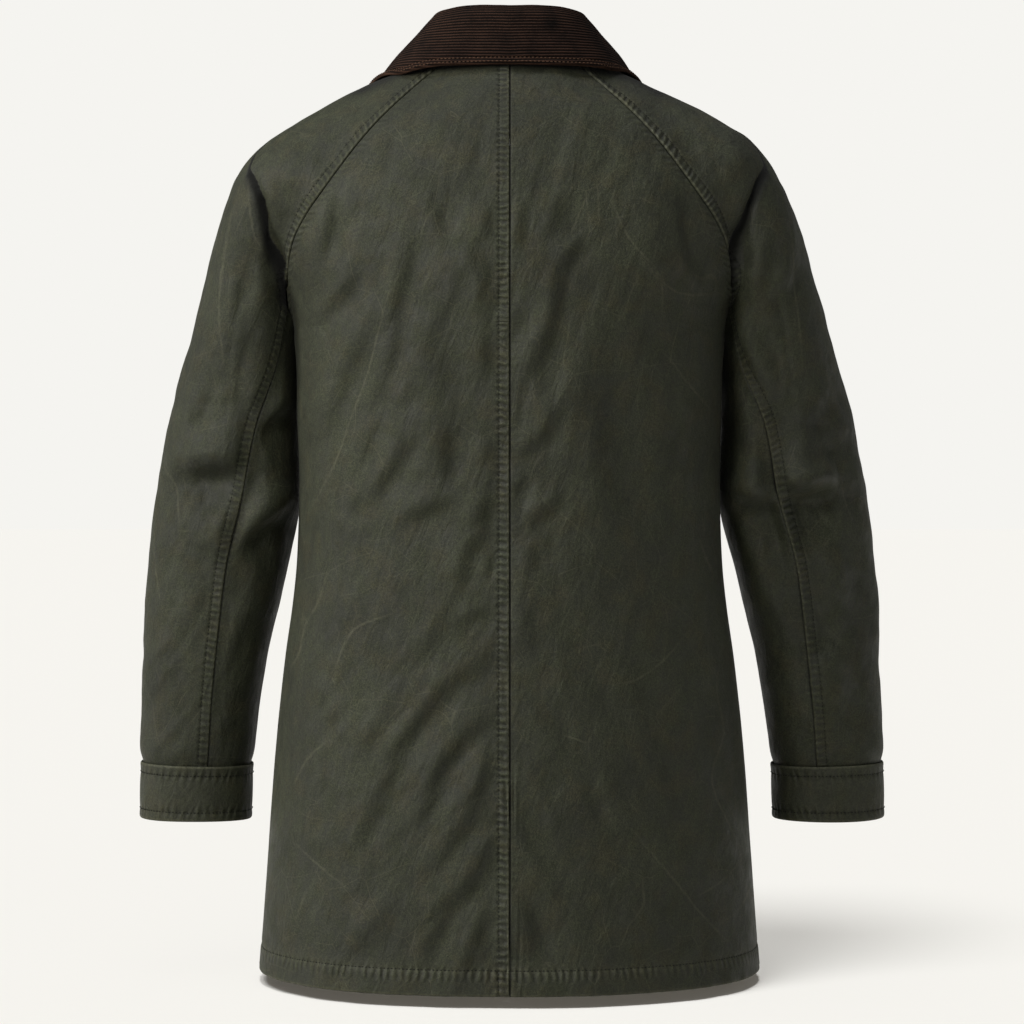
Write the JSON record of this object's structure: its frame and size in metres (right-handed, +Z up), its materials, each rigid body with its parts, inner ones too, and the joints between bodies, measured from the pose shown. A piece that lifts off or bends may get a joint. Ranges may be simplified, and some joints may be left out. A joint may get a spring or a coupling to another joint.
{
  "type": "waxed cotton jacket",
  "caption": "Thigh-length waxed cotton jacket, filled out as if worn, with raglan sleeves, stitched cuffs, a covered front and a turned-down brown corduroy collar.",
  "frame": {"origin": "middle of the neck opening, level with the centre-back neck seam, where the wearer holds the jacket up", "axes": "+Z up towards the collar, +Y out of the jacket's back, so the wearer faces -Y, and +X towards the wearer's left"},
  "size_m": [0.7056, 0.3047, 0.8806],
  "materials": {
    "waxed_cotton": "waxed, matt with a slight sheen, creased",
    "brown_corduroy": "ribbed pile, matt",
    "antique_brass": "satin, tarnished"
  },
  "bodies": {
    "root": {"back_left": "waxed_cotton", "back_right": "waxed_cotton", "front_left": "waxed_cotton", "front_right": "waxed_cotton", "sleeve_outer_left": "waxed_cotton", "sleeve_outer_right": "waxed_cotton", "sleeve_under_left": "waxed_cotton", "sleeve_under_right": "waxed_cotton", "cuff_left": "waxed_cotton", "cuff_right": "waxed_cotton", "collar": "brown_corduroy", "front_fly": "waxed_cotton", "press_stud_1": "antique_brass", "press_stud_2": "antique_brass", "press_stud_3": "antique_brass", "press_stud_4": "antique_brass", "press_stud_5": "antique_brass", "press_stud_6": "antique_brass"}
  },
  "joints": []
}
